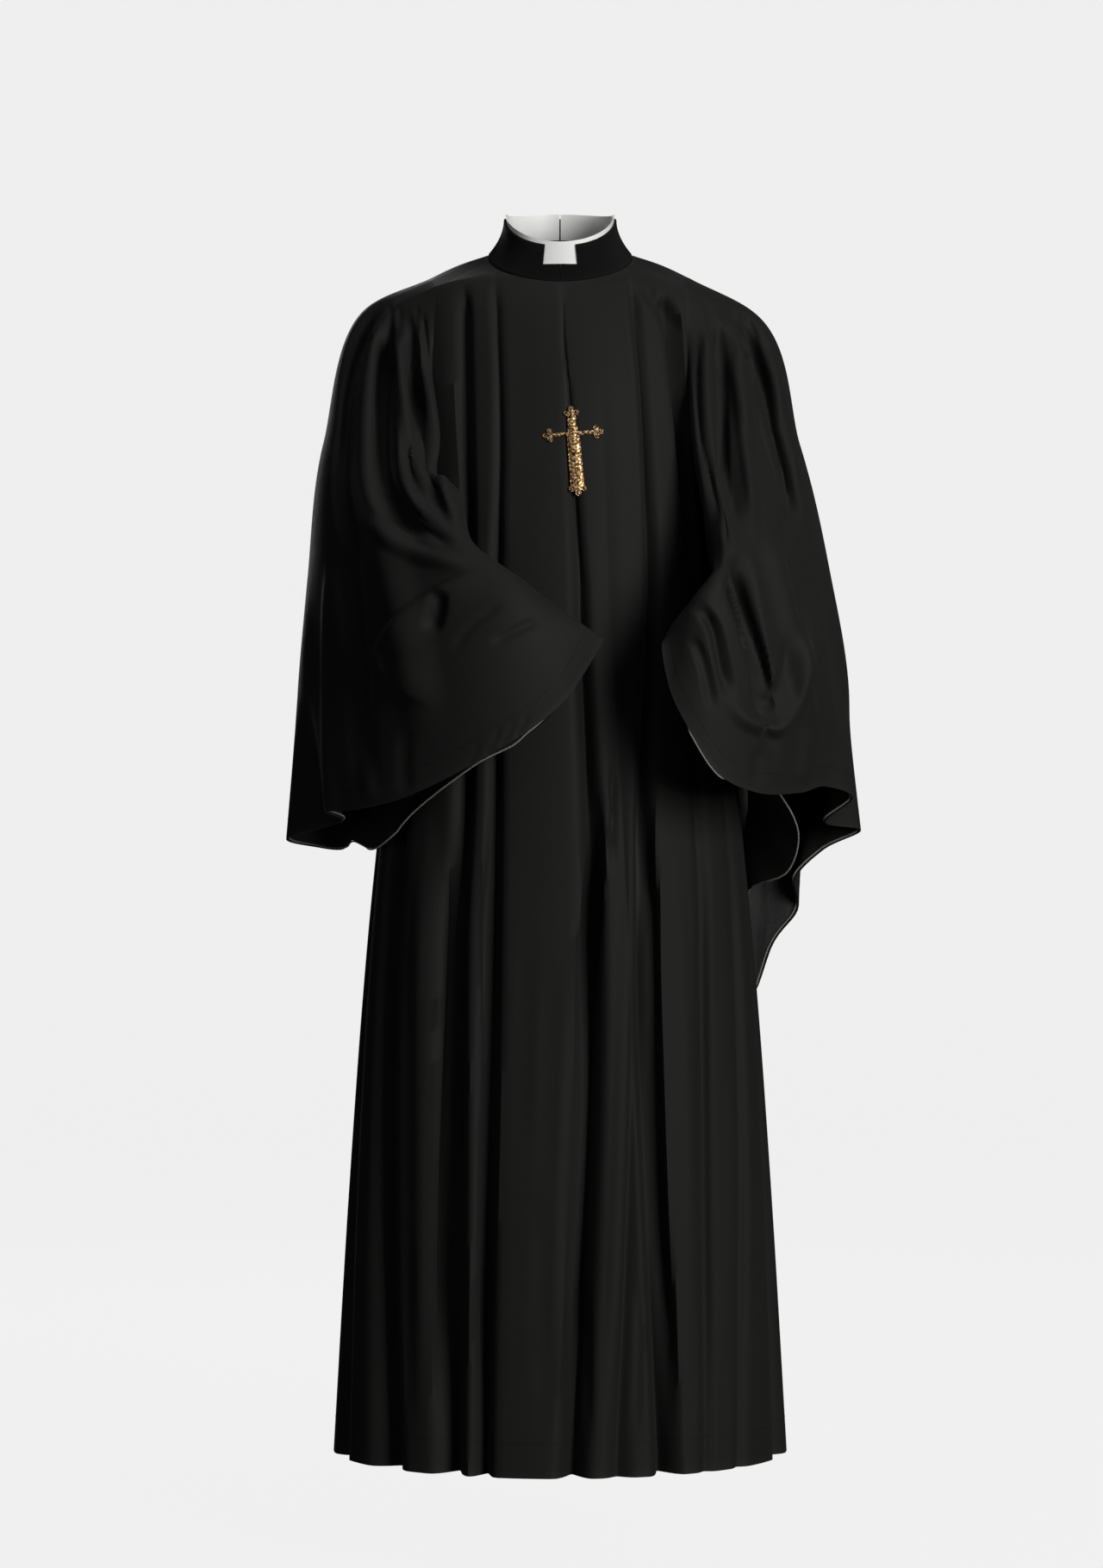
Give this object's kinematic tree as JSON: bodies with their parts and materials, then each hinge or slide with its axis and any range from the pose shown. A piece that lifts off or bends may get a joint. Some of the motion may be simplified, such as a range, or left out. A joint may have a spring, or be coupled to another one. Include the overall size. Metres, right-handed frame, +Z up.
{
  "type": "pulpit robe, worn",
  "caption": "Full-length clerical robe held open as worn, with a yoke, fluted fronts and back, wide bell sleeves, a notched standing collar and a raised cross.",
  "frame": {"origin": "between the shoulders at the height of the shoulder tops, where the wearer holds the robe up", "axes": "+Z up, the front faces -Y, +X is the wearer's left"},
  "size_m": [0.6894, 0.4743, 1.4831],
  "materials": {
    "robe_cloth": "matt worsted twill",
    "collar_cloth": "matt",
    "insert_white": "satin",
    "facing_satin": "satin",
    "cord_pale": "smooth cord",
    "cross_gold": "metal-thread embroidery"
  },
  "bodies": {
    "root": {"front_left": "robe_cloth", "front_right": "robe_cloth", "side_front_left": "robe_cloth", "side_front_right": "robe_cloth", "back": "robe_cloth", "yoke": "robe_cloth", "sleeve_left": "robe_cloth", "sleeve_right": "robe_cloth", "sleeve_facing_left": "facing_satin", "sleeve_cord_left": "cord_pale", "sleeve_cord_right": "cord_pale", "collar_band": "collar_cloth", "collar_insert": "insert_white", "cross_applique": "cross_gold"}
  },
  "joints": []
}
